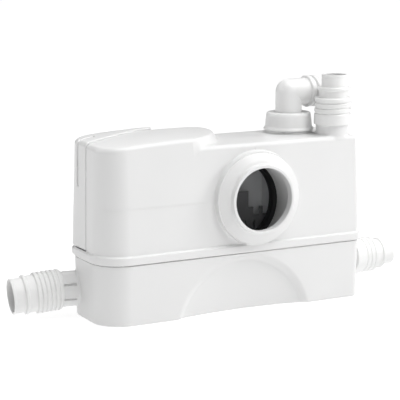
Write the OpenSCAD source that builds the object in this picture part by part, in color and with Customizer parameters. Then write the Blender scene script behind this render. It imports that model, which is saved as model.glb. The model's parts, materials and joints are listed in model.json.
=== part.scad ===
// Macerator toilet pump: floor unit with a toilet inlet, three waste connectors
// and a swivelling discharge elbow. Millimetres, +Z up, front towards -Y,
// origin on the floor under the middle of the tank.

/* [Body] */
// Width of the tank at the joint line
body_w = 466; // [462:1:470]
// Depth of the tank at the joint line
body_d = 149; // [147:1:151]
// Height of the tank rim
rim_z = 95; // [94:0.5:96]
// Height of the flat top on the right
top_z = 268; // [266:1:270]
// Highest point of the motor dome
dome_z = 283; // [281:1:285]
// Wall thickness of the mouldings
wall = 3.2; // [2.8:0.1:3.4]

/* [Toilet inlet] */
// Inlet axis, distance to the right of the middle
inlet_x = 36; // [34:1:38]
// Inlet axis height above the floor
inlet_z = 181.5; // [180:0.5:183]
// Radius of the inlet bore
inlet_r = 50; // [49:0.5:50.5]
// How far the inlet rim stands in front of the middle plane
inlet_rim = 94; // [92:1:96]

/* [Discharge] */
// Elbow axis, X
elbow_x = 147; // [146:0.5:147.5]
// Elbow axis, Y
elbow_y = 19; // [18.5:0.5:19.5]
// Height of the outlet centreline
outlet_z = 334; // [332:1:336]
// Radius of the outlet socket
outlet_r = 18.2; // [18:0.1:18.4]

/* [Waste connectors] */
// Height of the left waste inlet
left_z = 42; // [41:0.5:43]
// Angle by which the left stub points to the back
left_turn = 8; // [7:0.5:9]
// Height of the right waste inlet
right_z = 40; // [39:0.5:41]
// Distance of both side inlets behind the middle plane
side_y = 39.5; // [39:0.5:40]
// Bore radius of the left sleeve
left_bore_r = 25.1; // [24.8:0.1:25.2]
// Bore radius of the right and top sleeves
tip_bore_r = 18.1; // [17.8:0.1:18.4]
// Top connector axis, X
top_x = 195.6; // [195:0.2:196.4]
// Top connector axis, Y
top_y = -37.5; // [-38:0.5:-37]

/* [Motor and pump] */
// Motor axis, X
motor_x = -112; // [-113:1:-111]
// Motor axis, Y
motor_y = -8; // [-9:1:-7]
// Radius of the motor can
can_r = 47; // [46.6:0.1:47.2]
// Radius of the impeller
impeller_r = 38; // [34:1:40]

/* [Hidden] */
$fn = 64;

hx = body_w / 2;
hy = body_d / 2;
// corner radii: front left, back left, back right, front right
r_fl = 50;
r_bl = 50;
r_br = 16;
r_fr = 14;
// the seam of the rear cover, seen from above
seam_a = [-236, -3.8];
seam_ang = 25;
seam_end = -78;
// four long screws
columns = [[-186, -58], [-40, 57.5], [172, 60], [214, -57]];
// the pressure sensor
ps = [-205, -22];
// the flap hinges sit this far above the stub axis
hinge_up = 25.5;
// length of the round lip at the toilet inlet
lip_len = 14;
// the duct behind the lip widens and drops to a large seal ring
duct_y = -15;
duct_r = 70;
duct_z = inlet_z - 16.5;

// ---------- shared outlines ----------

// plan outline moved in by o, with its right end moved out by e
module outline(o, e = 0) {
  polygon([[-hx + o, -hy + r_fl], [-hx + r_fl, -hy + o], [hx + e - r_fr, -hy + o],
    [hx + e - o, -hy + r_fr], [hx + e - o, hy - r_br], [hx + e - r_br, hy - o],
    [-hx + r_bl, hy - o], [-hx + o, hy - r_bl]]);
  translate([-hx + r_fl, -hy + r_fl]) circle(r = r_fl - o);
  translate([-hx + r_bl, hy - r_bl]) circle(r = r_bl - o);
  translate([hx + e - r_br, hy - r_br]) circle(r = r_br - o);
  translate([hx + e - r_fr, -hy + r_fr]) circle(r = r_fr - o);
}

module drafted(z0, o0, z1, o1, e0 = 0, e1 = 0) {
  hull() {
    translate([0, 0, z0]) linear_extrude(0.02) outline(o0, e0, $fn = 40);
    translate([0, 0, z1 - 0.02]) linear_extrude(0.02) outline(o1, e1, $fn = 40);
  }
}

module ring2d(o_out, o_in) {
  difference() { outline(o_out); outline(o_in); }
}

// region behind the seam, grown by -g
module rear2d(g) {
  intersection() {
    translate(seam_a) rotate(seam_ang) translate([-100, g]) square([500, 300]);
    translate([-400, -200]) square([400 + seam_end - g, 500]);
  }
}

module tube_x(x0, x1, r, y, z) {
  translate([x0, y, z]) rotate([0, 90, 0]) cylinder(r = r, h = x1 - x0);
}

module tube_y(y0, y1, r, x, z) {
  translate([x, y1, z]) rotate([90, 0, 0]) cylinder(r = r, h = y1 - y0);
}

module ring_z(x, y, z0, z1, ro, ri) {
  translate([x, y, z0]) difference() {
    cylinder(r = ro, h = z1 - z0);
    translate([0, 0, -1]) cylinder(r = ri, h = z1 - z0 + 2);
  }
}

// ---------- shell ----------

module arch(grow) {
  translate([23, -331.5, -18]) sphere(r = 278 + grow, $fn = 180);
}

// turns the left stub and its sleeve about the root of the stub
module turned() {
  translate([-214, side_y, 0]) rotate([0, 0, -left_turn]) translate([214, -side_y, 0]) children();
}

module tank() {
  color("white") difference() {
    union() {
      difference() {
        drafted(0, 3.6, rim_z, 2);
        difference() { drafted(4, 7, rim_z + 1, 5.4); arch(3.4); }
      }
      translate([0, 0, rim_z - 6]) linear_extrude(6) ring2d(2.8, 10);
      for (c = columns) translate([c[0], c[1], 2]) cylinder(r = 6.5, h = rim_z - 2);
      tube_x(-225, -202, 27.6, side_y, left_z);
      turned() tube_x(-285, -214, 27, side_y, left_z);
      tube_x(224, 313.5, 26.5, side_y, right_z);
      for (a = [0, 180]) turned() translate([0, side_y, left_z]) rotate([a, 0, 0])
        translate([-250, -1.5, 0]) cube([32, 3, 28.4]);
      for (x = [-120, 120]) {
        translate([x - 11, 66, 0]) cube([22, 17, 6]);
        translate([x, 83, 0]) cylinder(r = 11, h = 6);
      }
    }
    arch(0);
    tube_x(-222, -195, 23, side_y, left_z);
    turned() tube_x(-300, -214, 22.6, side_y, left_z);
    for (a = [64, 116]) turned() translate([0, side_y, left_z]) rotate([a, 0, 0])
      translate([-241, -1.1, 24.6]) cube([18, 2.2, 6]);
    tube_x(218, 330, 22.5, side_y, right_z);
    for (c = columns) translate([c[0], c[1], -1]) {
      cylinder(r = 5.2, h = 81);
      cylinder(r = 2.7, h = 100);
    }
    for (x = [-120, 120]) translate([x, 83, -1]) cylinder(r = 3.5, h = 10);
  }
}

module tank_gasket() {
  color("dimgray") translate([0, 0, rim_z]) linear_extrude(2) ring2d(4.5, 9.5);
}

module dome2d(d) {
  intersection() {
    outline(10.1 + d);
    union() {
      translate([-300, -100]) square([203, 200]);
      translate([-97, 36]) circle(r = 105 - d, $fn = 120);
    }
  }
}

module dome(d) {
  intersection() {
    translate([0, 0, top_z - 8]) linear_extrude(40) dome2d(d);
    translate([-50, 10, dome_z - 1600]) sphere(r = 1600 - d, $fn = 360);
  }
}

module housing_outer() {
  drafted(rim_z + 2, 3.5, top_z, 10.1, 4.4, 2.8);
  dome(0);
}

module inlet_boss() {
  translate([inlet_x, 0, inlet_z]) rotate([90, 0, 0]) rotate_extrude($fn = 120)
    polygon([[inlet_r, inlet_rim - lip_len], [inlet_r, inlet_rim], [54.6, inlet_rim],
      [55.6, inlet_rim - 1], [56.2, inlet_rim - 5], [60, inlet_rim - 7.5], [70, inlet_rim - 12.5],
      [73, inlet_rim - 14.5], [74.5, inlet_rim - 18], [74.5, 60], [71, 60],
      [71, inlet_rim - 18.6], [69.5, inlet_rim - 16], [58, inlet_rim - 10.2], [54, inlet_rim - 9],
      [54, inlet_rim - lip_len]]);
}

module duct(d, y0, y1) {
  hull() {
    tube_y(y0, y0 + 0.02, inlet_r + 1 + d, inlet_x, inlet_z);
    tube_y(y1 - 0.02, y1, duct_r + d, inlet_x, duct_z);
  }
}

module housing() {
  color("white") difference() {
    union() {
      difference() {
        union() {
          difference() {
            housing_outer();
            drafted(rim_z + 1, 6.7, top_z - wall, 13.3, 4.4, 2.8);
            dome(wall);
            tube_y(-90, -50, 71, inlet_x, inlet_z, $fn = 120);
          }
          intersection() {
            housing_outer();
            union() {
              translate([0, 0, rim_z + 2]) linear_extrude(200)
                difference() { rear2d(-wall); rear2d(0); }
              translate([0, 0, rim_z + 2]) linear_extrude(3) rear2d(0);
              translate([0, 0, rim_z + 2]) linear_extrude(6)
                difference() { rear2d(-10.5); rear2d(0); }
              translate([-49.5, -100, rim_z + 2]) cube([3, 200, 200]);
              translate([-58.5, -100, rim_z + 2]) cube([12, 200, 6]);
            }
          }
          translate([0, 0, rim_z + 2]) linear_extrude(6) ring2d(3.6, 10);
          translate([0, 0, rim_z + 2]) linear_extrude(12)
            difference() { outline(0, 2); outline(5); }
          translate([0, 0, rim_z + 0.5]) linear_extrude(2)
            difference() { outline(0, 2); outline(4); }
          translate([0, 0, rim_z + 2]) linear_extrude(7.8)
            intersection() { cover2d(-1, 0); rear2d(0); }
          for (c = columns) translate([c[0], c[1], rim_z + 2]) cylinder(r = 8.5, h = 23);
          inlet_boss();
          duct(3, -inlet_rim + lip_len - 1, duct_y);
          translate([elbow_x, elbow_y, 249]) cylinder(r = 31, h = 20);
          translate([elbow_x, elbow_y, top_z - 2]) cylinder(r = 38, h = 6.6);
          translate([elbow_x, elbow_y, top_z]) cylinder(r = 32.5, h = 26.4);
          translate([top_x, top_y, top_z - 3]) cylinder(r = 26.5, h = 47.5);
        }
        difference() {
          translate([0, 0, rim_z + 5]) linear_extrude(250) rear2d(0);
          translate([0, 0, rim_z]) linear_extrude(9.8)
            difference() { cover2d(-1, 0); cover2d(2.2, 0); }
          translate([0, 0, rim_z]) linear_extrude(14) ring2d(0, 5);
        }
      }
      tube_y(52, 83.4 - wall, 5, -95, 240);
      tube_y(28, 83.4 - wall, 5, -165, 200);
    }
    duct(0, -inlet_rim + lip_len, duct_y + 0.01);
    tube_y(-100, -inlet_rim + lip_len + 0.01, inlet_r, inlet_x, inlet_z, $fn = 120);
    translate([elbow_x, elbow_y, 240]) cylinder(r = 19.4, h = 40);
    translate([elbow_x, elbow_y, 262]) cylinder(r = 26.4, h = 60);
    translate([top_x, top_y, 255]) cylinder(r = 22.5, h = 70);
    for (c = columns) translate([c[0], c[1], rim_z]) cylinder(r = 2.4, h = 22.5);
    tube_y(60, 90, 2.2, -95, 240);
    tube_y(60, 90, 2.2, -165, 200);
  }
}

// plan of the rear cover, left side moved in by s
module cover2d(d, s) {
  polygon(concat([[seam_end + 10, -40], [-229.5 + s + d, -40]],
    [for (a = [0 : 5 : 90]) [-184.5 + s - (45 - d) * cos(a), 39 + (45 - d) * sin(a)]],
    [[seam_end + 10, 84 - d]]));
}

module cover_block(d) {
  intersection() {
    hull() {
      translate([0, 0, rim_z + 2]) linear_extrude(0.02) cover2d(d, 0);
      translate([0, 0, dome_z + 10]) linear_extrude(0.02) cover2d(d, 7.5);
    }
    translate([-50, 10, dome_z + 2.6 - 1600]) sphere(r = 1600 - d, $fn = 360);
  }
}

module rear_cover() {
  color("whitesmoke") difference() {
    intersection() {
      cover_block(0);
      union() {
        translate([0, 0, rim_z + 14.6]) linear_extrude(250) rear2d(0.6);
        translate([-185, 75.2, rim_z + 10.4]) cube([185 + seam_end - 0.6, 20, 30]);
      }
    }
    intersection() {
      cover_block(wall);
      translate([-400, -200, 0]) cube([400 + seam_end - 4, 500, 400]);
    }
    // shallow groove near the left edge
    translate([-223.7, 30, 206]) rotate([0, 2.2, 0]) translate([-12, 0, 0]) cube([12, 6, 90]);
    // screw and gland holes
    tube_y(70, 90, 2.4, -95, 240);
    tube_y(70, 90, 2.4, -165, 200);
    tube_y(70, 90, 8.2, -100, 140);
  }
}

module assembly_screws() {
  color("silver") for (c = columns) translate([c[0], c[1], 0]) {
    difference() {
      translate([0, 0, 76]) cylinder(r = 4.8, h = 4);
      translate([-3.4, -0.6, 75]) cube([6.8, 1.2, 2.4]);
      translate([-0.6, -3.4, 75]) cube([1.2, 6.8, 2.4]);
    }
    translate([0, 0, 80]) cylinder(r = 2.3, h = 36);
  }
}

module cover_screw(x, z) {
  difference() {
    tube_y(84.1, 87, 4.5, x, z);
    translate([x - 3.2, 85.6, z - 0.6]) cube([6.4, 3, 1.2]);
    translate([x - 0.6, 85.6, z - 3.2]) cube([1.2, 3, 6.4]);
  }
  tube_y(62, 84.1, 2, x, z);
}

module cover_screws() {
  color("silver") { cover_screw(-95, 240); cover_screw(-165, 200); }
}

// ---------- inlets ----------

module wc_seal() {
  color("black") translate([inlet_x, 0, duct_z]) rotate([90, 0, 0]) rotate_extrude($fn = 120)
    polygon([[69.7, 14.9], [73, 14.9], [73, 11.1], [70.2, 11.1], [67, -2], [64.3, -2],
      [65.6, 4], [68.4, 11.5]]);
}

module inlet_chamber() {
  color("gray") difference() {
    translate([-44, -11, 106]) cube([158, 57, 142.5]);
    translate([-41.5, -8.5, 100]) cube([153, 52, 146]);
    tube_y(-20, -5, 70.9, inlet_x, duct_z, $fn = 120);
  }
}

module rag_comb() {
  color("dimgray") difference() {
    union() {
      translate([-41, 20, 106]) cube([152, 3, 29]);
      translate([-41, 20, 130]) cube([113.5, 3, 45]);
      translate([70, 20, 130]) cube([12, 3, 18]);
      translate([94, 20, 130]) cube([5.8, 3, 18]);
    }
    for (i = [0 : 4]) translate([-34 + i * 16, 15, 114]) cube([6, 12, 50]);
    for (i = [0 : 2]) translate([48 + i * 16, 15, 112]) cube([5, 12, 14]);
  }
}

// stepped sleeve, free end at z = 0, mouth on the stub at z = 81.6
module sleeve_small() {
  rotate_extrude($fn = 96) polygon(concat(
    [[tip_bore_r, 0], [21, 0], [21.3, 1.2], [21, 3], [21, 20.2], [26.5, 20.8], [26.5, 25],
     [24, 25.6], [24, 37.2]],
    [for (i = [0 : 2]) each [[28.2, 37.6 + i * 8.5], [30, 38.7 + i * 8.5],
      [30, 43.4 + i * 8.5], [28.2, 44.5 + i * 8.5]]],
    [[28.2, 63], [30, 63.8], [30, 80.2], [29.2, 81.6], [26.7, 81.6], [26.7, 52], [21.6, 52],
     [21.6, 26], [tip_bore_r, 26]]));
}

module sleeve_large() {
  rotate_extrude($fn = 96) polygon(concat(
    [[left_bore_r, 0], [27.4, 0], [28, 1.5], [27.4, 3], [27.4, 18.6], [31, 19.4], [31, 24],
     [29, 24.8], [29, 36.6]],
    [for (i = [0 : 4]) each [[30, 37.4 + i * 7], [32.3, 38.8 + i * 7],
      [32.3, 41.4 + i * 7], [30, 42.8 + i * 7]]],
    [[32.4, 72.6], [32, 76], [29.6, 79], [27.2, 79], [27.2, 46], [left_bore_r, 46]]));
}

module left_connector() {
  color("ivory") turned() translate([-332, side_y, left_z]) rotate([0, 90, 0]) sleeve_large();
}

module right_connector() {
  color("ivory") translate([367, side_y, right_z]) rotate([0, -90, 0]) sleeve_small();
}

module top_connector() {
  color("ivory") translate([top_x, top_y, 366]) rotate([180, 0, 0]) sleeve_small();
}

// flap valve pieces, seat face at x = 0, flap on the +x side, stub axis through the origin
module valve_seat(ro) {
  difference() {
    union() {
      tube_x(-14, -1, ro - 0.2, 0, 0);
      tube_x(-1.8, 1.4, 24.4, 0, 0);
      for (s = [-1, 1]) {
        translate([-1.8, s * 10 - 2, 20.4]) cube([3.2, 4, hinge_up - 20.4 + 4]);
        translate([-1.8, s * 10 - 2, 21.6]) cube([8.2, 4, hinge_up - 21.6 + 4]);
      }
    }
    tube_x(-20, 10, 18.5, 0, 0);
    translate([-3, -7.9, 22]) cube([12, 15.8, 12]);
    translate([3.6, 30, hinge_up]) rotate([90, 0, 0]) cylinder(r = 1.5, h = 60);
  }
}

module valve_flap() {
  difference() {
    union() {
      tube_x(1.7, 4.2, 21.5, 0, 0);
      translate([1.7, -6, 10]) cube([2.5, 12, hinge_up - 10]);
      translate([3.6, 7.6, hinge_up]) rotate([90, 0, 0]) cylinder(r = 3, h = 15.2);
      tube_x(4.2, 6.2, 12, 0, 0);
    }
    translate([3.6, 30, hinge_up]) rotate([90, 0, 0]) cylinder(r = 1.56, h = 60);
  }
}

module valve_pin() {
  translate([3.6, 12, hinge_up]) rotate([90, 0, 0]) cylinder(r = 1.5, h = 24);
}

module at_left() { translate([-200, side_y, left_z]) children(); }
module at_right() { translate([222, side_y, right_z]) mirror([1, 0, 0]) children(); }

module left_valve_seat() { color("gray") at_left() valve_seat(23); }
module right_valve_seat() { color("gray") at_right() valve_seat(22.5); }
module left_flap() { color("black") at_left() valve_flap(); }
module right_flap() { color("black") at_right() valve_flap(); }
module left_flap_pin() { color("silver") at_left() valve_pin(); }
module right_flap_pin() { color("silver") at_right() valve_pin(); }

// ---------- discharge ----------

module discharge_pipe() {
  color("lightgray") difference() {
    union() {
      translate([elbow_x, elbow_y, 4.2]) cylinder(r = 19, h = 257.6);
      tube_x(motor_x + 40.5, elbow_x, 16.5, elbow_y, 26);
    }
    translate([elbow_x, elbow_y, 9]) cylinder(r = 15.5, h = 260);
    tube_x(motor_x + 30, elbow_x, 13, elbow_y, 26);
  }
}

module riser_gasket() {
  color("black") ring_z(elbow_x, elbow_y, 262.1, 264.6, 26, 16);
}

module discharge_elbow() {
  color("white") difference() {
    union() {
      translate([elbow_x, elbow_y, 265]) cylinder(r = 26.1, h = 31);
      translate([elbow_x, elbow_y, 294.9]) cylinder(r = 30, h = 3.2);
      translate([elbow_x, elbow_y, 294.9]) cylinder(r = 22, h = outlet_z - 294.9);
      translate([elbow_x, elbow_y, outlet_z]) sphere(r = 22.4, $fn = 96);
      translate([elbow_x, elbow_y, outlet_z]) rotate([0, 90, 0]) rotate_extrude($fn = 96)
        polygon([[0, 0], [21.7, 0], [21.7, 31.2], [25.4, 31.6], [26, 32.6], [26, 37.6], [25.4, 38.6],
          [21.7, 39], [21.7, 43], [25.4, 43.4], [26, 44.4], [26, 49.6], [25.4, 51], [0, 51]]);
    }
    translate([elbow_x, elbow_y, 260]) cylinder(r = 22.4, h = 33.5);
    translate([elbow_x, elbow_y, 290]) cylinder(r = 18.8, h = 9.5);
    translate([elbow_x, elbow_y, 290]) cylinder(r = 17, h = outlet_z - 290);
    tube_x(elbow_x, elbow_x + 30, 16.5, elbow_y, outlet_z);
    tube_x(elbow_x + 26, elbow_x + 60, outlet_r, elbow_y, outlet_z);
    ring_z(elbow_x, elbow_y, 284, 286.8, 30, 24);
  }
}

module elbow_oring() {
  color("black") translate([elbow_x, elbow_y, 285.4]) rotate_extrude($fn = 96)
    translate([25.18, 0]) circle(r = 1.15, $fn = 32);
}

module retaining_cap() {
  color("white") translate([elbow_x, elbow_y, 0]) rotate_extrude($fn = 96)
    polygon([[33, 273], [41.2, 273], [41.2, 275.8], [39.4, 278.6], [37, 297.5], [35, 301.6],
      [22.5, 301.6], [22.5, 298.6], [33, 298.6]]);
}

// non-return valve, hinge on the -x side
module check_seat() {
  color("gray") translate([elbow_x, elbow_y, 0]) difference() {
    union() {
      translate([0, 0, 267]) cylinder(r = 22.2, h = 4);
      for (s = [-1, 1]) translate([-20.4, s * 6.5 - 1.3, 270]) cube([3.2, 2.6, 6.2]);
    }
    translate([0, 0, 260]) cylinder(r = 14.5, h = 20);
    translate([-18.8, 20, 274]) rotate([90, 0, 0]) cylinder(r = 1, h = 40);
  }
}

module check_flap() {
  color("black") translate([elbow_x, elbow_y, 0]) difference() {
    union() {
      translate([0, 0, 271.3]) cylinder(r = 16.6, h = 2.2);
      translate([-18.8, -4.6, 272.2]) cube([6, 9.2, 1.3]);
      translate([-18.8, 4.8, 274]) rotate([90, 0, 0]) cylinder(r = 2.3, h = 9.6);
    }
    translate([-18.8, 20, 274]) rotate([90, 0, 0]) cylinder(r = 1.06, h = 40);
  }
}

module check_pin() {
  color("silver") translate([elbow_x - 18.8, elbow_y + 7.7, 274]) rotate([90, 0, 0])
    cylinder(r = 1, h = 15.4);
}

// ---------- motor and pump ----------

module plate2d(g) {
  difference() {
    intersection() {
      outline(8.2 + g);
      translate([-400, -200]) square([349 - g, 400]);
    }
    rear2d(-4.2 - g);
    translate(columns[0]) circle(r = 9.5 + g);
  }
}

module ears() {
  for (a = [0, 180, 270]) translate([motor_x, motor_y, 0]) rotate(a) translate([51.6, 0, 0]) children();
}

module motor_plate() {
  color("gainsboro") difference() {
    union() {
      translate([0, 0, 104]) linear_extrude(6) plate2d(0);
      translate([motor_x, motor_y, 96]) cylinder(r = 14, h = 10);
      translate([motor_x, motor_y, 104]) cylinder(r = 22, h = 24);
    }
    translate([motor_x, motor_y, 90]) cylinder(r = 7, h = 50);
    translate([motor_x, motor_y, 90]) cylinder(r = 10.05, h = 14);
    translate([motor_x, motor_y, 117]) cylinder(r = 16, h = 20);
    translate([ps[0], ps[1], 100]) cylinder(r = 11.3, h = 20);
    ears() translate([0, 0, 100]) cylinder(r = 2.4, h = 20);
  }
}

module motor_plate_gasket() {
  color("black") translate([0, 0, 103]) linear_extrude(1) difference() { plate2d(0.2); plate2d(1.6); }
}

module motor_screws() {
  color("silver") ears() {
    translate([0, 0, 113]) cylinder(r = 4.2, h = 3.2);
    translate([0, 0, 104.4]) cylinder(r = 2.2, h = 9);
  }
}

module motor_housing() {
  color("silver") difference() {
    union() {
      translate([motor_x, motor_y, 110]) cylinder(r = can_r, h = 116);
      ears() translate([0, 0, 110]) cylinder(r = 5.6, h = 3);
    }
    translate([motor_x, motor_y, 105]) cylinder(r = can_r - 2, h = 105);
    translate([motor_x, motor_y, 205]) difference() {
      cylinder(r = can_r - 2, h = 18);
      translate([0, 0, 3]) cylinder(r = 17, h = 30);
    }
    translate([motor_x, motor_y, 205]) cylinder(r = 13, h = 15.2);
    for (a = [0 : 45 : 315]) translate([motor_x, motor_y, 215]) rotate(a) translate([30, 0, 0])
      cylinder(r = 4, h = 20);
    ears() translate([0, 0, 105]) cylinder(r = 2.4, h = 20);
  }
}

module stator_core() {
  color("dimgray") translate([motor_x, motor_y, 140]) difference() {
    cylinder(r = can_r - 2.1, h = 50);
    translate([0, 0, -1]) cylinder(r = 27, h = 52);
    for (a = [0 : 30 : 330]) rotate(a) translate([27.5, -2, -1]) cube([9, 4, 52]);
  }
}

module stator_windings() {
  color("peru") {
    ring_z(motor_x, motor_y, 126, 139.8, 42, 29);
    ring_z(motor_x, motor_y, 190.2, 204, 42, 29);
  }
}

module upper_bearing() { color("lightgray") ring_z(motor_x, motor_y, 211, 220, 12.95, 5.05); }
module lower_bearing() { color("lightgray") ring_z(motor_x, motor_y, 117, 127, 15.95, 5.05); }
module shaft_seal() { color("black") ring_z(motor_x, motor_y, 97, 103.9, 10, 5.08); }

module shaft() { color("silver") translate([motor_x, motor_y, 11]) cylinder(r = 5, h = 208); }

module rotor_core() { color("gray") ring_z(motor_x, motor_y, 141, 189, 26.4, 5); }

module cutter() {
  color("silver") translate([motor_x, motor_y, 56]) difference() {
    union() {
      cylinder(r = 11, h = 9);
      for (a = [0, 90]) rotate(a) translate([-36, -6, 1 + a / 45]) cube([72, 12, 3]);
    }
    translate([0, 0, -1]) cylinder(r = 5, h = 20);
    for (a = [0, 90], s = [0, 180]) rotate(a + s) for (i = [0 : 3])
      translate([16 + i * 5, 4.4, -1]) cube([2.4, 3, 12]);
  }
}

module impeller() {
  color("dimgray") translate([motor_x, motor_y, 14]) difference() {
    union() {
      cylinder(r = impeller_r, h = 3);
      cylinder(r = 10, h = 16);
      for (a = [0 : 60 : 300]) rotate(a) translate([7, -1.5, 2]) cube([impeller_r - 9, 3, 12]);
    }
    translate([0, 0, -1]) cylinder(r = 5, h = 30);
  }
}

module blade_nut() {
  color("silver") translate([motor_x, motor_y, 10.8]) difference() {
    cylinder(r = 8.5, h = 3.1, $fn = 6);
    translate([0, 0, -1]) cylinder(r = 5, h = 10);
  }
}

module volute() {
  color("darkgray") difference() {
    union() {
      translate([motor_x, motor_y, 4.2]) cylinder(r = 52, h = 41.8);
      tube_x(motor_x, motor_x + 60, 19.5, elbow_y, 26);
    }
    translate([motor_x, motor_y, 10]) cylinder(r = 44, h = 26);
    translate([motor_x, motor_y, 30]) cylinder(r = 26, h = 20);
    tube_x(motor_x + 10, motor_x + 70, 13, elbow_y, 26);
    tube_x(motor_x + 40, motor_x + 70, 16.7, elbow_y, 26);
  }
}

module macerator_basket() {
  color("dimgray") translate([motor_x, motor_y, 46.1]) difference() {
    union() {
      cylinder(r = 51, h = 3);
      cylinder(r = 47, h = 42);
    }
    translate([0, 0, -1]) cylinder(r = 44, h = 60);
    for (a = [0 : 24 : 336]) rotate(a) translate([40, -3, 8]) cube([12, 6, 24]);
    for (a = [12 : 24 : 348]) rotate(a) translate([40, -4.5, 37]) cube([12, 9, 12]);
  }
}

// ---------- control and electrics ----------

module pressure_bell() {
  color("white") translate([ps[0], ps[1], 0]) difference() {
    union() {
      translate([0, 0, 20]) cylinder(r = 11, h = 92);
      translate([0, 0, 110.1]) cylinder(r = 20, h = 6.9);
    }
    translate([0, 0, 19]) cylinder(r = 9, h = 120);
    translate([0, 0, 113]) cylinder(r = 17, h = 10);
  }
}

module membrane() {
  color("black") translate([ps[0], ps[1], 117.05]) cylinder(r = 19.8, h = 0.95);
}

module membrane_cap() {
  color("white") translate([ps[0], ps[1], 118.05]) difference() {
    cylinder(r = 20, h = 8);
    translate([0, 0, -1]) cylinder(r = 17, h = 6);
    cylinder(r = 3.06, h = 20);
  }
}

module switch_plunger() {
  color("gold") translate([ps[0], ps[1], 118.3]) {
    cylinder(r = 10, h = 1.5);
    cylinder(r = 3, h = 11);
  }
}

module microswitch() {
  color("darkslategray") translate([ps[0], ps[1], 0]) {
    difference() {
      translate([-14, -5, 126.1]) cube([28, 10, 22]);
      translate([-9, -6, 126]) cube([18, 12, 10]);
    }
    translate([0, 0, 132.4]) cylinder(r = 1.8, h = 4);
    for (x = [-9, 0, 9]) translate([x - 2, -0.4, 147]) cube([4, 0.8, 8]);
  }
}

module capacitor() {
  color("lightsteelblue") translate([-178, 48, 100.1]) {
    cylinder(r = 15, h = 68);
    translate([0, 0, 68]) cylinder(r = 12, h = 2);
    for (y = [-5, 5]) translate([-3, y - 0.4, 69]) cube([6, 0.8, 9]);
  }
}

module terminal_block() {
  color("ivory") difference() {
    translate([-152, 66, 126]) cube([32, 83.9 - wall - 66, 18]);
    for (i = [0 : 2]) translate([-146 + i * 10, 60, 135]) rotate([-90, 0, 0]) cylinder(r = 2.5, h = 14);
    for (i = [0 : 2]) translate([-146 + i * 10, 71, 140]) cylinder(r = 2, h = 10);
  }
}

module carbon_filter() {
  color("black") translate([seam_a[0], seam_a[1], 200]) rotate(seam_ang)
    translate([26, 0.1, 0]) cube([40, 11, 48]);
}

module cable_gland() {
  color("white") difference() {
    union() {
      tube_y(68, 84.2, 8, -100, 140);
      tube_y(84.1, 88, 11, -100, 140);
      tube_y(88, 95, 9.5, -100, 140);
    }
    tube_y(60, 100, 4, -100, 140);
  }
}

module gland_nut() {
  color("white") difference() {
    translate([-100, 83.9 - wall, 140]) rotate([90, 0, 0]) cylinder(r = 12, h = 6, $fn = 6);
    tube_y(60, 100, 8.05, -100, 140);
  }
}

tank();
tank_gasket();
housing();
rear_cover();
assembly_screws();
cover_screws();
wc_seal();
inlet_chamber();
rag_comb();
left_connector();
right_connector();
top_connector();
left_valve_seat();
right_valve_seat();
left_flap();
right_flap();
left_flap_pin();
right_flap_pin();
discharge_pipe();
riser_gasket();
discharge_elbow();
elbow_oring();
retaining_cap();
check_seat();
check_flap();
check_pin();
motor_plate();
motor_plate_gasket();
motor_screws();
motor_housing();
stator_core();
stator_windings();
upper_bearing();
lower_bearing();
shaft_seal();
shaft();
rotor_core();
cutter();
impeller();
blade_nut();
volute();
macerator_basket();
pressure_bell();
membrane();
membrane_cap();
switch_plunger();
microswitch();
capacitor();
terminal_block();
carbon_filter();
cable_gland();
gland_nut();
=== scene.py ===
import json
import math

import bpy
import numpy as np
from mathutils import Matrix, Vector


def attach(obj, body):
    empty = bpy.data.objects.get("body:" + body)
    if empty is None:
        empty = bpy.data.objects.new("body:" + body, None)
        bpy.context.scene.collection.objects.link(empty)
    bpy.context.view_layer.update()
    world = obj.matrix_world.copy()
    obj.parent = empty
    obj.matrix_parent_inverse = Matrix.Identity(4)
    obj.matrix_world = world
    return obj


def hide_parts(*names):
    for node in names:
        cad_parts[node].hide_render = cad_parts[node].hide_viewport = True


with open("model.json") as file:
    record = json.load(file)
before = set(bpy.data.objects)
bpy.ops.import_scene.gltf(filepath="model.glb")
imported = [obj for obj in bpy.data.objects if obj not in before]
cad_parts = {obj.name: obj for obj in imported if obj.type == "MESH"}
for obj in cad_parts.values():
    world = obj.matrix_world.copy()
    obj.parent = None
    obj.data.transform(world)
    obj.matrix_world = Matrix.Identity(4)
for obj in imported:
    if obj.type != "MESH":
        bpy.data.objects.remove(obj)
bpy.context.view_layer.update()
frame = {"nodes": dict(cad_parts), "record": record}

NODES = frame["nodes"]
VOX = 1.6
WALL = 4.4
MM = 0.001

# ------------------------------------------------------------------ field helpers (millimetres)


def rmax(a, b, r):
    u = np.maximum(a + r, 0.0)
    v = np.maximum(b + r, 0.0)
    return np.minimum(np.maximum(a, b), -r) + np.hypot(u, v)


def rmin(a, b, r):
    return -rmax(-a, -b, r)


def smooth01(t):
    t = np.clip(t, 0.0, 1.0)
    return t * t * t * (t * (6.0 * t - 15.0) + 10.0)


HX, HY = 233.0, 74.5
R_FL, R_BL, R_BR, R_FR = 50.0, 50.0, 16.0, 14.0


def plan(x, y, e=0.0):
    """Distance to the plan outline at the joint line, its right end moved out by e."""
    left = x < 0
    front = y < 0
    r = np.where(left, np.where(front, R_FL, R_BL), np.where(front, R_FR, R_BR))
    qx = np.abs(x) - HX - np.where(left, 0.0, e) + r
    qy = np.abs(y) - HY + r
    return (
        np.minimum(np.maximum(qx, qy), 0.0)
        + np.hypot(np.maximum(qx, 0.0), np.maximum(qy, 0.0))
        - r
    )


SEAM_A = (-236.0, -3.8)
SEAM_T = math.radians(25.0)
SEAM_END = -78.0


def behind_seam(x, y, z):
    lean = (z - 204.0) * 0.0345
    return -(x - SEAM_A[0]) * math.sin(SEAM_T) + (y - SEAM_A[1] - lean) * math.cos(SEAM_T)


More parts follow.
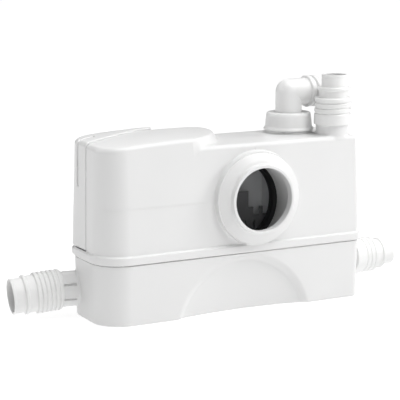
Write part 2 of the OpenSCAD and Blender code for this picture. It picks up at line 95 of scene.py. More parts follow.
def cover_plan(x, y, z):
    """Distance to the plan of the rear cover, its left side drafted like the housing."""
    qx = -x - 184.5 + (z - 97.0) * 0.0384
    qy = y - 39.0
    return (
        np.minimum(np.maximum(qx, qy), 0.0)
        + np.hypot(np.maximum(qx, 0.0), np.maximum(qy, 0.0))
        - 45.0
    )


INLET_X, INLET_Z = 36.0, 181.5
ELB_X, ELB_Y, OUT_Z = 147.0, 19.0, 334.0
TOP_X, TOP_Y = 195.6, -37.5
SIDE_Y, LEFT_Z, RIGHT_Z = 39.5, 42.0, 40.0
COLUMNS = ((-186.0, -58.0), (-40.0, 57.5), (172.0, 60.0), (214.0, -57.0))


# the left stub points a little to the back
TURN = math.radians(8.0)
ROOT_X = -214.0


def left_axis(x, y):
    """Distance along the left stub from its root, and sideways offset from its axis."""
    along = -(x - ROOT_X) * math.cos(TURN) + (y - SIDE_Y) * math.sin(TURN)
    side = (x - ROOT_X) * math.sin(TURN) + (y - SIDE_Y) * math.cos(TURN)
    return along, side


def top_field(x, y, z):
    """Signed height over the top: flat on the right, raised dome on the left."""
    crown = 283.0 - ((x + 50.0) ** 2 + (y - 10.0) ** 2) / 3200.0
    isl = np.minimum(x + 97.0, np.hypot(x + 97.0, y - 36.0) - 105.0)
    low = 268.0
    step = 3.5 + 9.5 * smooth01((x + 97.0) / 60.0)
    u = np.clip((3.0 - isl) / step, 0.0, 1.0)
    steep = (crown - low) * 30.0 * u * u * (1.0 - u) ** 2 / step
    return (z - low - (crown - low) * smooth01(u)) / np.sqrt(1.0 + steep * steep)


def housing_body(x, y, z):
    ext = 4.4 - (z - 97.0) * 0.00936
    w = (plan(x, y, ext) + 3.5 + (z - 97.0) * 0.0384) * 0.9993
    return rmax(w, top_field(x, y, z), 7.0)


def inlet_solid(x, y, z):
    rho = np.hypot(x - INLET_X, z - INLET_Z)
    h = -y
    cone = ((rho - 74.5) * 10.0 + (h - 77.0) * 17.0) / math.hypot(10.0, 17.0)
    a = rmax(rmax(rho - 74.5, cone, 4.0), h - 87.0, 2.0)
    a = np.maximum(a, 60.0 - h)
    rim = rmax(rho - 55.6, h - 94.0, 1.8)
    rim = np.maximum(rim, 78.0 - h)
    return rmin(a, rim, 2.5)


def duct(x, y, z, r0, r1):
    """Passage behind the inlet lip: it widens and drops towards the seal ring."""
    s = np.clip((y + 80.0) / 65.0, 0.0, 1.0)
    rho = np.hypot(x - INLET_X, z - INLET_Z + 16.5 * s)
    return (rho - (r0 + (r1 - r0) * s)) * 0.95


def housing_sdf(x, y, z):
    body = housing_body(x, y, z)
    rear = np.maximum(np.maximum(-behind_seam(x, y, z), x - SEAM_END), 100.0 - z)
    d = rmax(body, -rear, 2.2)
    p = plan(x, y)
    pb = plan(x, y, 2.0)
    band = rmax(rmax(pb + (z - 97.0) * 0.02, np.abs(z - 102.25) - 6.75, 2.6), -(p + 5.6), 1.0)
    d = rmin(d, band, 1.6)
    # tray that carries the rear cover
    cp = cover_plan(x, y, 103.0)
    tray = rmax(cp - 1.0, np.abs(z - 100.4) - 4.4, 1.8)
    tray = np.maximum(tray, -np.maximum(cp + 3.6, 100.0 - z))
    tray = np.maximum(tray, np.maximum(-behind_seam(x, y, z), x - SEAM_END))
    d = np.minimum(d, tray)
    # the joint line is narrower towards the right
    d = np.maximum(d, 95.6 - 0.3 * smooth01((x + 40.0) / 120.0) - z)
    ce = np.hypot(x - ELB_X, y - ELB_Y)
    collar = rmax(ce - 38.4, np.abs(z - 264.7) - 7.9, 1.4)
    d = rmin(d, collar, 3.2)
    neck = np.maximum(ce - 32.5, np.abs(z - 282.2) - 12.2)
    d = np.minimum(d, neck)
    ct = np.hypot(x - TOP_X, y - TOP_Y)
    stub = rmax(ct - 26.5, np.abs(z - 288.0) - 25.0, 1.5)
    d = rmin(d, stub, 3.5)
    d = rmin(d, inlet_solid(x, y, z), 2.2)
    # hollow inside
    cav = np.maximum(body + WALL, WALL - rear)
    d = np.maximum(d, -cav)
    for cx, cy in COLUMNS:
        d = np.minimum(d, np.maximum(np.hypot(x - cx, y - cy) - 8.5, np.abs(z - 108.0) - 11.0))
    rho = np.hypot(x - INLET_X, z - INLET_Z)
    h = -y
    ring = np.maximum(np.maximum(rho - 74.0, 62.0 - h), h - 78.0)
    d = np.minimum(d, ring)
    d = np.minimum(d, np.maximum(np.maximum(duct(x, y, z, 56.0, 73.6), y + 15.0), -80.0 - y))
    d = np.maximum(d, -np.maximum(np.maximum(duct(x, y, z, 52.6, 69.6), y + 5.0), -80.0 - y))
    bore = np.maximum(rho - 50.0, 79.0 - h)
    d = rmax(d, -bore, 1.2)
    d = np.maximum(d, -np.maximum(ce - 26.4, 262.0 - z))
    d = np.maximum(d, -np.maximum(ct - 22.5, 250.0 - z))
    return d


def arch(x, y, z):
    """Shallow round recess in the front: a soft step at its edge, then a gently curved panel."""
    rho = np.hypot(x - 15.0, z + 29.0)
    u = np.clip((125.0 - rho) / 17.0, 0.0, 1.0)
    bowl = 5.6 + 11.4 * (1.0 - (rho / 117.0) ** 2)
    steep = bowl * 30.0 * u * u * (1.0 - u) ** 2 / 17.0
    front = -HY + 2.0 + (95.0 - z) * 0.0175
    return (y - front - bowl * smooth01(u)) / np.sqrt(1.0 + steep * steep)


def tank_wall(x, y, z):
    return (plan(x, y) + 2.0 + (95.0 - z) * 0.0175) * 0.9998


def tank_sdf(x, y, z):
    w = np.maximum(tank_wall(x, y, z), -arch(x, y, z))
    d = rmax(w, -z, 3.6)
    skin = d
    al, sl = left_axis(x, y)
    cl = np.hypot(sl, z - LEFT_Z)
    left = rmax(cl - 27.2, np.abs(al - 35.5) - 35.5, 1.5)
    d = rmin(d, left, 2.5)
    cr = np.hypot(y - SIDE_Y, z - RIGHT_Z)
    right = rmax(cr - 26.5, np.abs(x - 268.75) - 44.75, 1.5)
    d = rmin(d, right, 2.5)
    rib = np.maximum(np.maximum(np.abs(sl) - 1.6, np.abs(z - LEFT_Z) - 28.6), np.abs(al - 20.0) - 16.0)
    d = rmin(d, rib, 1.0)
    for lx in (-120.0, 120.0):
        lug = np.maximum(np.minimum(np.hypot(x - lx, y - 83.0) - 11.0,
                                    np.maximum(np.abs(x - lx) - 11.0, np.abs(y - 74.0) - 9.0)),
                         np.abs(z - 3.0) - 3.0)
        d = np.minimum(d, lug)
        d = np.maximum(d, -(np.hypot(x - lx, y - 83.0) - 3.5))
    d = np.maximum(d, -(skin + WALL))
    rim = np.maximum(np.maximum(plan(x, y) + 2.6, -(plan(x, y) + 10.0)), np.abs(z - 92.0) - 3.0)
    d = np.minimum(d, rim)
    for cx, cy in COLUMNS:
        c = np.hypot(x - cx, y - cy)
        d = np.minimum(d, np.maximum(c - 6.5, np.abs(z - 48.5) - 46.5))
        d = np.maximum(d, -np.maximum(c - 5.2, z - 80.0))
        d = np.maximum(d, -(c - 2.7))
    tube_l = np.maximum(cl - 27.2, np.abs(al - 32.0) - 39.0)
    d = np.minimum(d, tube_l)
    d = np.maximum(d, -np.maximum(cl - 22.6, np.abs(al - 35.0) - 52.0))
    # two slots beside the front of the stub
    for a in (26.0, -26.0):
        ca, sa = math.cos(math.radians(a)), math.sin(math.radians(a))
        up = -sl * ca + (z - LEFT_Z) * sa
        across = sl * sa + (z - LEFT_Z) * ca
        wide = 1.9 - np.clip((al - 20.0) * 0.05, 0.0, 1.0)
        slot = np.maximum(np.maximum(np.abs(across) - wide, 24.4 - up), np.abs(al - 28.5) - 9.5)
        d = rmax(d, -slot, 0.4)
    tube_r = np.maximum(np.maximum(cr - 26.5, 224.0 - x), x - 313.5)
    d = np.minimum(d, tube_r)
    d = np.maximum(d, -np.maximum(cr - 22.5, np.abs(x - 270.0) - 55.0))
    return np.maximum(d, z - 95.0)


def cover_sdf(x, y, z):
    zc = 285.6 - ((x + 50.0) ** 2 + (y - 10.0) ** 2) / 3200.0
    body = rmax(cover_plan(x, y, z), (z - zc) * 0.99, 7.0)
    seam = behind_seam(x, y, z)
    d = rmax(body, np.maximum(0.9 - seam, x - SEAM_END), 2.2)
    foot = np.maximum(np.maximum(105.6 - z, 75.4 - y), -185.0 - x)
    d = rmax(d, np.minimum(109.9 - z, foot), 1.6)
    cav = np.maximum(body + WALL, x - SEAM_END + 5.0)
    d = np.maximum(d, -cav)
    groove = np.maximum(np.maximum(np.abs(seam - 27.5) - 3.2, -(body + 1.7)), np.maximum(206.0 - z, x + 188.0))
    d = rmax(d, -groove, 0.9)
    for cx, cz in ((-95.0, 240.0), (-165.0, 200.0)):
        d = np.maximum(d, -np.maximum(np.hypot(x - cx, z - cz) - 2.4, 60.0 - y))
    d = np.maximum(d, -np.maximum(np.hypot(x + 100.0, z - 140.0) - 8.2, 60.0 - y))
    return d


def elbow_sdf(x, y, z):
    cv = np.hypot(x - ELB_X, y - ELB_Y)
    ch = np.hypot(y - ELB_Y, z - OUT_Z)
    sp = np.sqrt((x - ELB_X) ** 2 + (y - ELB_Y) ** 2 + (z - OUT_Z) ** 2)
    vert = np.maximum(cv - 22.0, np.maximum(294.9 - z, z - OUT_Z))
    horz = np.maximum(ch - 22.0, np.maximum(ELB_X - x, x - 196.0))
    d = np.minimum(np.minimum(vert, horz), sp - 22.0)
    r1 = rmax(ch - 26.1, np.abs(x - 182.1) - 3.9, 2.0)
    r2 = rmax(ch - 26.1, np.abs(x - 194.0) - 4.0, 2.0)
    d = rmin(d, r1, 1.2)
    d = rmin(d, r2, 1.2)
    d = rmin(d, rmax(cv - 30.0, np.abs(z - 296.5) - 1.6, 0.6), 1.0)
    d = np.minimum(d, np.maximum(cv - 26.1, np.abs(z - 280.5) - 15.5))
    d = np.maximum(d, -np.maximum(cv - 22.4, z - 293.5))
    d = np.maximum(d, -np.maximum(cv - 18.8, z - 299.5))
    bore = np.minimum(np.minimum(np.maximum(cv - 17.0, z - OUT_Z), np.maximum(ch - 17.0, ELB_X - x)), sp - 17.0)
    d = np.maximum(d, -bore)
    d = rmax(d, -np.maximum(ch - 18.2, 173.0 - x), 0.8)
    d = np.maximum(d, -np.maximum(24.0 - cv, np.abs(z - 285.4) - 1.4))
    return d


# ------------------------------------------------------------------ field to mesh


def grad(f, p, e=0.05):
    g = np.empty_like(p)
    for k in range(3):
        q = p.copy()
        q[:, k] += e
        a = f(q[:, 0], q[:, 1], q[:, 2])
        q[:, k] -= 2 * e
        g[:, k] = (a - f(q[:, 0], q[:, 1], q[:, 2])) / (2 * e)
    return g


def surface_nets(f, lo, hi, h):
    lo = np.array(lo, float) + 0.137 * h
    n = np.ceil((np.array(hi, float) - lo) / h).astype(int) + 1
    ax = [lo[k] + h * np.arange(n[k]) for k in range(3)]
    val = np.empty(tuple(n), np.float32)
    yy, zz = np.meshgrid(ax[1], ax[2], indexing="ij")
    step = max(1, int(1.2e6 // yy.size))
    for i in range(0, n[0], step):
        xs = ax[0][i:i + step]
        x3 = np.broadcast_to(xs[:, None, None], (len(xs),) + yy.shape)
        y3 = np.broadcast_to(yy[None], x3.shape)
        z3 = np.broadcast_to(zz[None], x3.shape)
        val[i:i + step] = f(x3, y3, z3)
    ins = val < 0
    c = np.zeros(tuple(n - 1), np.int8)
    for a in (0, 1):
        for b in (0, 1):
            for g in (0, 1):
                c += ins[a:n[0] - 1 + a, b:n[1] - 1 + b, g:n[2] - 1 + g]
    act = (c > 0) & (c < 8)
    idx = np.full(act.shape, -1, np.int32)
    cells = np.argwhere(act)
    idx[act] = np.arange(len(cells))
    corners = np.array([(a, b, g) for a in (0, 1) for b in (0, 1) for g in (0, 1)])
    cv = np.stack([val[cells[:, 0] + o[0], cells[:, 1] + o[1], cells[:, 2] + o[2]] for o in corners], 1)
    acc = np.zeros((len(cells), 3))
    cnt = np.zeros(len(cells))
    for i in range(8):
        for j in range(i + 1, 8):
            if np.abs(corners[i] - corners[j]).sum() != 1:
                continue
            m = (cv[:, i] < 0) != (cv[:, j] < 0)
            t = np.zeros(len(cells))
            den = cv[:, i] - cv[:, j]
            t[m] = cv[m, i] / den[m]
            pos = corners[i][None] + t[:, None] * (corners[j] - corners[i])[None]
            acc[m] += pos[m]
            cnt[m] += 1
    verts = lo + h * (cells + acc / cnt[:, None])
    faces = []
    for k in range(3):
        u, v = (k + 1) % 3, (k + 2) % 3
        sl0 = [slice(None)] * 3
        sl1 = [slice(None)] * 3
        sl0[k] = slice(0, n[k] - 1)
        sl1[k] = slice(1, n[k])
        a, b = ins[tuple(sl0)], ins[tuple(sl1)]
        for flip in (False, True):
            e = np.argwhere((a & ~b) if not flip else (~a & b))
            ok = (e[:, u] > 0) & (e[:, v] > 0) & (e[:, u] < n[u] - 1) & (e[:, v] < n[v] - 1)
            e = e[ok]
            quad = []
            for du, dv in ((-1, -1), (0, -1), (0, 0), (-1, 0)):
                q = e.copy()
                q[:, u] += du
                q[:, v] += dv
                quad.append(idx[q[:, 0], q[:, 1], q[:, 2]])
            q = np.stack(quad, 1)
            faces.append(q[:, ::-1] if flip else q)
    return verts, np.concatenate(faces)


def field_mesh(name, f, lo, hi, h):
    verts, faces = surface_nets(f, lo, hi, h)
    start = verts.copy()
    for _ in range(3):
        g = grad(f, verts)
        d = f(verts[:, 0], verts[:, 1], verts[:, 2])
        n2 = np.maximum((g * g).sum(1), 0.05)
        stepv = -(d / n2)[:, None] * g
        ln = np.linalg.norm(stepv, axis=1)
        stepv *= np.minimum(1.0, 0.5 * h / np.maximum(ln, 1e-9))[:, None]
        verts = verts + stepv
        off = verts - start
        ln = np.linalg.norm(off, axis=1)
        verts = start + off * np.minimum(1.0, 0.9 * h / np.maximum(ln, 1e-9))[:, None]
    g = grad(f, verts, 0.35)
    nrm = g / np.maximum(np.linalg.norm(g, axis=1), 1e-9)[:, None]
    return add_mesh(name, verts, faces, nrm)


def add_mesh(name, verts, faces, normals=None):
    me = bpy.data.meshes.new(name)
    verts = np.asarray(verts, float) * MM
    nv, nf = len(verts), len(faces)
    me.vertices.add(nv)
    me.vertices.foreach_set("co", verts.astype(np.float32).ravel())
    faces = np.asarray(faces)
    k = faces.shape[1]
    me.loops.add(nf * k)
    me.loops.foreach_set("vertex_index", faces.astype(np.int32).ravel())
    me.polygons.add(nf)
    me.polygons.foreach_set("loop_start", np.arange(0, nf * k, k, dtype=np.int32))
    me.polygons.foreach_set("loop_total", np.full(nf, k, np.int32))
    me.update(calc_edges=True)
    me.validate()
    me.polygons.foreach_set("use_smooth", np.ones(len(me.polygons), bool))
    if normals is not None and len(me.vertices) == len(normals):
        me.normals_split_custom_set_from_vertices(np.asarray(normals, float).tolist())
    o = bpy.data.objects.new(name, me)
    bpy.context.scene.collection.objects.link(o)
    return o


def rounded(profile, steps=5):
    """profile: list of (r, s, fillet radius). Returns a closed polyline with rounded corners."""
    out = []
    n = len(profile)
    for i in range(n):
        p0 = np.array(profile[i - 1][:2], float)
        p1 = np.array(profile[i][:2], float)
        p2 = np.array(profile[(i + 1) % n][:2], float)
        rad = profile[i][2]
        a, b = p0 - p1, p2 - p1
        la, lb = np.linalg.norm(a), np.linalg.norm(b)
        a, b = a / la, b / lb
        ang = math.acos(max(-1.0, min(1.0, float(a @ b))))
        if rad <= 0.0 or ang > 3.12:
            out.append(p1)
            continue
        t = min(rad / math.tan(ang / 2), 0.48 * la, 0.48 * lb)
        rr = t * math.tan(ang / 2)
        mid = (a + b) / np.linalg.norm(a + b)
        c = p1 + mid * (rr / math.sin(ang / 2))
        s0, s1 = p1 + a * t - c, p1 + b * t - c
        a0, a1 = math.atan2(s0[1], s0[0]), math.atan2(s1[1], s1[0])
        da = (a1 - a0 + math.pi) % (2 * math.pi) - math.pi
        for j in range(steps + 1):
            th = a0 + da * j / steps
            out.append(c + rr * np.array([math.cos(th), math.sin(th)]))
    return np.array(out)


def dense(poly, longest):
    out = []
    n = len(poly)
    for i in range(n):
        a, b = poly[i], poly[(i + 1) % n]
        k = max(1, int(np.linalg.norm(b - a) / longest))
        for j in range(k):
            out.append(a + (b - a) * j / k)
    return np.array(out)


def lathe(name, profile, place, seg=128, steps=5, longest=3.0):
    """profile (r, s, fillet); place(r cos, r sin, s) gives row coordinates in millimetres."""
    poly = dense(rounded(profile, steps), longest)
    m = len(poly)
    th = np.linspace(0, 2 * math.pi, seg, endpoint=False)
    u = (poly[:, 0][None] * np.cos(th)[:, None]).ravel()
    v = (poly[:, 0][None] * np.sin(th)[:, None]).ravel()
    s = np.tile(poly[:, 1], seg)
    verts = np.stack(place(u, v, s), 1)
    i = np.arange(seg)[:, None]
    j = np.arange(m)[None]
    i2, j2 = (i + 1) % seg, (j + 1) % m
    quads = np.stack([(i * m + j), (i2 * m + j), (i2 * m + j2), (i * m + j2)], -1).reshape(-1, 4)
    o = add_mesh(name, verts, quads)
    import bmesh
    bm = bmesh.new()
    bm.from_mesh(o.data)
    bmesh.ops.recalc_face_normals(bm, faces=bm.faces)
    bm.to_mesh(o.data)
    bm.free()
    return o


# ------------------------------------------------------------------ materials


def nodes_of(name):
    m = bpy.data.materials.new(name)
    m.use_nodes = True
    nt = m.node_tree
    bsdf = next(n for n in nt.nodes if n.type == "BSDF_PRINCIPLED")
    return m, nt, bsdf


def plastic(name, base, spread=0.02, rough=(0.30, 0.42), bump=0.03, grain=900.0, blotch=18.0,
            metal=0.0, ior=1.46, coat=0.0, tint=(1.0, 1.0, 1.0)):
    m, nt, bsdf = nodes_of(name)
    tc = nt.nodes.new("ShaderNodeTexCoord")
    big = nt.nodes.new("ShaderNodeTexNoise")
    big.inputs["Scale"].default_value = blotch
    big.inputs["Detail"].default_value = 5.0
    nt.links.new(tc.outputs["Object"], big.inputs["Vector"])
    ramp = nt.nodes.new("ShaderNodeValToRGB")
    lo = [max(0.0, c - spread) * t for c, t in zip(base, tint)]
    hi = [min(1.0, c + spread) for c in base]
    ramp.color_ramp.elements[0].position = 0.3
    ramp.color_ramp.elements[0].color = (*lo, 1.0)
    ramp.color_ramp.elements[1].position = 0.7
    ramp.color_ramp.elements[1].color = (*hi, 1.0)
    nt.links.new(big.outputs["Fac"], ramp.inputs["Fac"])
    nt.links.new(ramp.outputs["Color"], bsdf.inputs["Base Color"])
    fine = nt.nodes.new("ShaderNodeTexNoise")
    fine.inputs["Scale"].default_value = grain
    fine.inputs["Detail"].default_value = 3.0
    nt.links.new(tc.outputs["Object"], fine.inputs["Vector"])
    mr = nt.nodes.new("ShaderNodeMapRange")
    mr.inputs["To Min"].default_value = rough[0]
    mr.inputs["To Max"].default_value = rough[1]
    nt.links.new(big.outputs["Fac"], mr.inputs["Value"])
    nt.links.new(mr.outputs["Result"], bsdf.inputs["Roughness"])
    bp = nt.nodes.new("ShaderNodeBump")
    bp.inputs["Strength"].default_value = bump
    bp.inputs["Distance"].default_value = 0.0004
    nt.links.new(fine.outputs["Fac"], bp.inputs["Height"])
    nt.links.new(bp.outputs["Normal"], bsdf.inputs["Normal"])
    bsdf.inputs["Metallic"].default_value = metal
    bsdf.inputs["IOR"].default_value = ior
    bsdf.inputs["Coat Weight"].default_value = coat
    return m


MAT = {
    "white_shell": plastic("white_shell", (0.74, 0.74, 0.738), 0.008, (0.30, 0.38), 0.05, 1400.0, 9.0),
    "white_fitting": plastic("white_fitting", (0.81, 0.81, 0.807), 0.01, (0.26, 0.36), 0.05, 1400.0, 22.0),
    "white_rubber": plastic("white_rubber", (0.79, 0.79, 0.785), 0.012, (0.38, 0.5), 0.10, 1100.0, 30.0),
    "black_rubber": plastic("black_rubber", (0.012, 0.012, 0.013), 0.005, (0.42, 0.6), 0.15, 900.0, 40.0),
    "grey_rubber": plastic("grey_rubber", (0.12, 0.12, 0.12), 0.02, (0.5, 0.65), 0.15, 900.0, 40.0),
    "dark_plastic": plastic("dark_plastic", (0.16, 0.161, 0.166), 0.02, (0.45, 0.6), 0.1, 800.0, 25.0),
    "grey_plastic": plastic("grey_plastic", (0.60, 0.61, 0.62), 0.02, (0.4, 0.55), 0.08, 900.0, 25.0),
    "cream_plastic": plastic("cream_plastic", (0.72, 0.68, 0.58), 0.02, (0.4, 0.5), 0.08, 900.0, 25.0),
    "steel": plastic("steel", (0.58, 0.58, 0.59), 0.03, (0.22, 0.36), 0.06, 1200.0, 60.0, metal=1.0),
    "painted_can": plastic("painted_can", (0.33, 0.36, 0.40), 0.02, (0.3, 0.42), 0.06, 700.0, 30.0),
    "lamination": plastic("lamination", (0.18, 0.18, 0.2), 0.03, (0.45, 0.6), 0.2, 500.0, 60.0, metal=0.8),
    "copper": plastic("copper", (0.62, 0.30, 0.16), 0.05, (0.3, 0.45), 0.3, 350.0, 90.0, metal=0.9),
    "brass": plastic("brass", (0.70, 0.52, 0.22), 0.03, (0.25, 0.35), 0.05, 900.0, 50.0, metal=1.0),
    "alu": plastic("alu", (0.70, 0.71, 0.73), 0.03, (0.28, 0.4), 0.05, 900.0, 40.0, metal=1.0),
    "carbon_foam": plastic("carbon_foam", (0.02, 0.02, 0.02), 0.012, (0.8, 0.95), 0.9, 420.0, 60.0),
}

for sp in frame["record"]["subparts"]:
    o = NODES[sp["node"]]
    o.data.materials.clear()
    o.data.materials.append(MAT[sp["material_slot"]])


def piece(obj, body, slot, *nodes):
    obj.data.materials.clear()
    obj.data.materials.append(MAT[slot])
    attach(obj, body)
    if nodes:
        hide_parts(*nodes)
    return obj


# ------------------------------------------------------------------ shells

piece(field_mesh("housing_shell", housing_sdf, (-236, -97, 93), (236, 88, 316), VOX),
      "unit", "white_shell", "housing")
piece(field_mesh("tank_shell", tank_sdf, (-293, -78, -3), (317, 97, 98), VOX),
      "unit", "white_shell", "tank")
piece(field_mesh("rear_cover_shell", cover_sdf, (-234, -8, 103), (-74, 88, 291), VOX),
      "unit", "white_shell", "rear_cover")
piece(field_mesh("elbow_shell", elbow_sdf, (117, -12, 262), (202, 49, 364), VOX * 0.7),
      "elbow", "white_fitting", "discharge_elbow")

# ------------------------------------------------------------------ turned pieces


def sleeve_small_profile():
    p = [(18.1, 0.0, 0.8), (21.2, 0.0, 0.9), (21.3, 3.0, 0.8), (20.7, 4.6, 0.6), (20.9, 20.2, 0.8),
         (26.4, 20.8, 1.3), (26.5, 25.0, 1.3), (24.0, 25.8, 0.8), (24.1, 37.0, 0.6)]
    for i in range(3):
        s = 37.4 + i * 8.5
        p += [(28.3, s + 0.2, 0.5), (30.1, s + 1.2, 1.3), (30.1, s + 6.0, 1.3), (28.3, s + 7.2, 0.5)]
    p += [(28.3, 62.9, 0.5), (30.1, 63.9, 1.2), (30.0, 80.6, 1.2), (26.7, 81.6, 0.5), (26.7, 52.0, 0.3),
          (21.6, 52.0, 0.5), (21.6, 26.0, 0.5), (18.1, 26.0, 0.5)]
    return p


def left_place(u, v, s):
    """The left sleeve follows the turned stub; its free end hangs down a little."""
    along = 118.0 - s
    hang = np.clip((along - 42.0) / 8.0, 0.0, 1.0)
    far = along + 0.0735 * v * hang
    x = ROOT_X - far * math.cos(TURN) + u * math.sin(TURN)
    y = SIDE_Y + far * math.sin(TURN) + u * math.cos(TURN)
    return x, y, LEFT_Z + v - 0.0735 * np.maximum(along - 44.0, 0.0)


def top_place(u, v, s):
    """The top sleeve leans slightly to the right."""
    lean = 3.2 * np.power(np.clip((81.6 - s) / 81.6, 0.0, 1.0), 1.2)
    return TOP_X + u + 0.883 * lean, TOP_Y + v - 0.470 * lean, 366.0 - s


def sleeve_large_profile():
    p = [(25.1, 0.0, 0.8), (27.7, 0.0, 0.9), (28.0, 2.4, 1.0), (27.2, 4.6, 0.8), (27.3, 18.4, 0.9),
         (31.0, 19.6, 1.5), (31.0, 23.8, 1.5), (29.0, 25.0, 0.9), (29.1, 36.6, 0.6)]
    for i in range(5):
        s = 37.0 + i * 7.0
        p += [(30.2, s + 0.2, 0.5), (32.4, s + 1.0, 1.1), (32.4, s + 4.6, 1.1), (30.2, s + 5.4, 0.5)]
    p += [(30.4, 72.2, 0.5), (32.4, 72.8, 1.0), (32.0, 76.2, 1.5), (29.6, 79.0, 0.8), (27.2, 79.0, 0.4),
          (27.2, 46.0, 0.3), (25.1, 46.0, 0.4)]
    return p


piece(lathe("left_sleeve", sleeve_large_profile(), left_place),
      "unit", "white_rubber", "left_connector")
piece(lathe("right_sleeve", sleeve_small_profile(), lambda u, v, s: (367.0 - s, SIDE_Y + u, RIGHT_Z + v)),
      "unit", "white_rubber", "right_connector")
piece(lathe("top_sleeve", sleeve_small_profile(), top_place),
      "unit", "white_rubber", "top_connector")

piece(lathe("cap_shell", [(33.0, 273.0, 0.3), (41.2, 273.0, 0.8), (41.2, 275.4, 1.0), (39.0, 278.8, 5.0),
                          (37.0, 297.0, 2.5), (35.4, 301.6, 2.4), (22.5, 301.6, 0.6), (22.5, 298.6, 0.3),
                          (33.0, 298.6, 0.6)],
            lambda u, v, s: (ELB_X + u, ELB_Y + v, s)),
      "cap", "white_fitting", "retaining_cap")

piece(lathe("wc_ring_seal", [(69.4, 14.9, 1.2), (73.0, 14.9, 0.3), (73.0, 11.1, 0.3), (70.2, 11.1, 0.5),
                             (67.0, -2.0, 0.6), (64.3, -2.0, 0.9), (64.6, 1.5, 1.0), (66.6, 5.0, 2.0),
                             (66.9, 9.0, 2.0), (68.9, 11.6, 1.2)],
            lambda u, v, s: (INLET_X + u, -s, INLET_Z - 16.5 + v), longest=2.0),
      "unit", "black_rubber", "wc_seal")

# ------------------------------------------------------------------ parting lines


def ridge(name, path, out, width=1.0, proud=0.35, sunk=0.6):
    """Thin raised line along a path on a wall; out is the wall's outward direction at each point."""
    path, out = np.asarray(path, float), np.asarray(out, float)
    t = np.gradient(path, axis=0)
    side = np.cross(t, out)
    side /= np.linalg.norm(side, axis=1)[:, None]
    ring = [path + side * (width / 2) - out * sunk, path + side * (width / 2) + out * proud,
            path - side * (width / 2) + out * proud, path - side * (width / 2) - out * sunk]
    verts = np.stack(ring, 1).reshape(-1, 3)
    n = len(path)
    quads = [(4 * i + k, 4 * i + (k + 1) % 4, 4 * i + 4 + (k + 1) % 4, 4 * i + 4 + k)
             for i in range(n - 1) for k in range(4)]
    quads += [(3, 2, 1, 0), (4 * n - 4, 4 * n - 3, 4 * n - 2, 4 * n - 1)]
    o = add_mesh(name, verts, quads)
    o.data.polygons.foreach_set("use_smooth", np.zeros(len(o.data.polygons), bool))
    import bmesh
    bm = bmesh.new()
    bm.from_mesh(o.data)
    bmesh.ops.recalc_face_normals(bm, faces=bm.faces)
    bm.to_mesh(o.data)
    bm.free()
    return o


def front_line(z, a0, x1):
    """Path round the front left corner and along the front wall at one height."""
    inset = 3.5 + (z - 97.0) * 0.0384
    th = np.linspace(math.radians(a0), math.radians(270.0), 24)
    c = np.array([-HX + R_FL, -HY + R_FL])
    arc = np.stack([np.cos(th), np.sin(th), 0 * th], 1)
    pts = np.array([c[0], c[1], z]) + arc * (R_FL - inset)
    xs = np.linspace(c[0], x1, 40)[1:]
    flat = np.stack([xs, 0 * xs - HY + inset, 0 * xs + z], 1)
    down = np.tile([0.0, -1.0, 0.0], (len(xs), 1))
    return np.concatenate([pts, flat]), np.concatenate([arc, down])


piece(ridge("front_parting_line", *front_line(181.0, 205.0, -41.0)), "unit", "white_shell")
ridge_z = np.linspace(255.0, 262.0, 8)
piece(ridge("inlet_parting_line",
            np.stack([0 * ridge_z + INLET_X, -HY + 3.5 + (ridge_z - 97.0) * 0.0384, ridge_z], 1),
            np.tile([0.0, -1.0, 0.0], (8, 1))), "unit", "white_shell")

# ------------------------------------------------------------------ stage, light, camera


def paper_material(name, glow):
    m, nt, bsdf = nodes_of(name)
    tc = nt.nodes.new("ShaderNodeTexCoord")
    n = nt.nodes.new("ShaderNodeTexNoise")
    n.inputs["Scale"].default_value = 6.0
    nt.links.new(tc.outputs["Object"], n.inputs["Vector"])
    r = nt.nodes.new("ShaderNodeValToRGB")
    r.color_ramp.elements[0].color = (0.35, 0.35, 0.35, 1)
    r.color_ramp.elements[1].color = (0.37, 0.37, 0.37, 1)
    nt.links.new(n.outputs["Fac"], r.inputs["Fac"])
    nt.links.new(r.outputs["Color"], bsdf.inputs["Base Color"])
    bsdf.inputs["Emission Color"].default_value = (1.0, 1.0, 1.0, 1.0)
    bsdf.inputs["Emission Strength"].default_value = glow
    bsdf.inputs["Roughness"].default_value = 0.9
    bsdf.inputs["Specular IOR Level"].default_value = 0.1
    return m


def floor():
    n = 60
    g = np.linspace(-20000.0, 20000.0, n)
    xx, yy = np.meshgrid(g, g, indexing="ij")
    verts = np.stack([xx.ravel(), yy.ravel(), 0.0 * xx.ravel()], 1)
    i = np.arange(n - 1)[:, None]
    j = np.arange(n - 1)[None]
    q = np.stack([i * n + j, (i + 1) * n + j, (i + 1) * n + j + 1, i * n + j + 1], -1).reshape(-1, 4)
    o = add_mesh("floor", verts, q)
    o.data.materials.append(paper_material("floor_paper", 0.77))
    return o


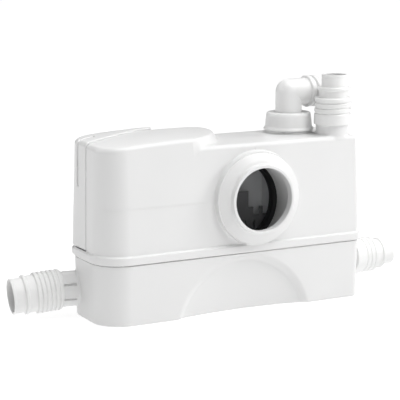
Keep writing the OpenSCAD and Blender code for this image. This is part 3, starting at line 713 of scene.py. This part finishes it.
def backdrop():
    """Low round wall far behind everything, so a low view still ends in pale paper."""
    n, rows = 96, 6
    th = np.linspace(0.0, 2.0 * math.pi, n, endpoint=False)
    zz = np.linspace(-20.0, 5200.0, rows)
    verts = np.stack([np.repeat(19000.0 * np.cos(th), rows), np.repeat(19000.0 * np.sin(th), rows),
                      np.tile(zz, n)], 1)
    i = np.arange(n)[:, None]
    j = np.arange(rows - 1)[None]
    i2 = (i + 1) % n
    q = np.stack([i * rows + j, i * rows + j + 1, i2 * rows + j + 1, i2 * rows + j], -1).reshape(-1, 4)
    o = add_mesh("backdrop", verts, q)
    o.data.materials.append(paper_material("backdrop_paper", 0.92))
    o.visible_diffuse = False
    o.visible_glossy = False
    return o


floor()
backdrop()


def area(name, loc, aim, size, power, size_y=None):
    d = bpy.data.lights.new(name, "AREA")
    d.shape = "RECTANGLE"
    d.size = size
    d.size_y = size_y or size
    d.energy = power
    o = bpy.data.objects.new(name, d)
    o.location = loc
    o.rotation_euler = (Vector(aim) - Vector(loc)).to_track_quat("-Z", "Y").to_euler()
    bpy.context.scene.collection.objects.link(o)
    return o


def sun(name, tilt, angle, strength):
    d = bpy.data.lights.new(name, "SUN")
    d.angle = math.radians(angle)
    d.energy = strength
    o = bpy.data.objects.new(name, d)
    o.rotation_euler = tilt
    bpy.context.scene.collection.objects.link(o)
    return o


area("key", (2.20, -1.00, 1.50), (0.0, -0.05, 0.16), 0.7, 31.0)
area("high", (0.75, -1.35, 2.20), (0.0, 0.0, 0.16), 0.9, 19.0)
area("front", (-0.90, -2.35, 0.75), (0.0, 0.0, 0.16), 1.0, 6.6)
area("left", (-2.20, 0.50, 1.00), (-0.1, 0.0, 0.16), 1.2, 4.0)
area("left_back", (-1.60, 1.50, 1.20), (-0.1, 0.0, 0.16), 1.2, 9.0)
area("back", (0.40, 1.60, 1.50), (0.05, 0.0, 0.25), 1.2, 6.0)
sun("top", (0.10, 0.06, 0.0), 50.0, 1.95)

bpy.context.scene.view_settings.view_transform = "Standard"

w = bpy.data.worlds.new("studio")
bpy.context.scene.world = w
w.use_nodes = True
bg = w.node_tree.nodes["Background"]
bg.inputs["Color"].default_value = (1.0, 1.0, 1.0, 1.0)
bg.inputs["Strength"].default_value = 0.07

cam = bpy.data.cameras.new("camera")
cam.sensor_width = 36.0
cam.lens = 132.09
cam.clip_end = 50.0
co = bpy.data.objects.new("camera", cam)
co.location = (-1.11035, -2.0318, 0.59472)
co.rotation_euler = (Vector((-0.02309, 0.0095, 0.16999)) - co.location).to_track_quat("-Z", "Y").to_euler()
bpy.context.scene.collection.objects.link(co)
bpy.context.scene.camera = co
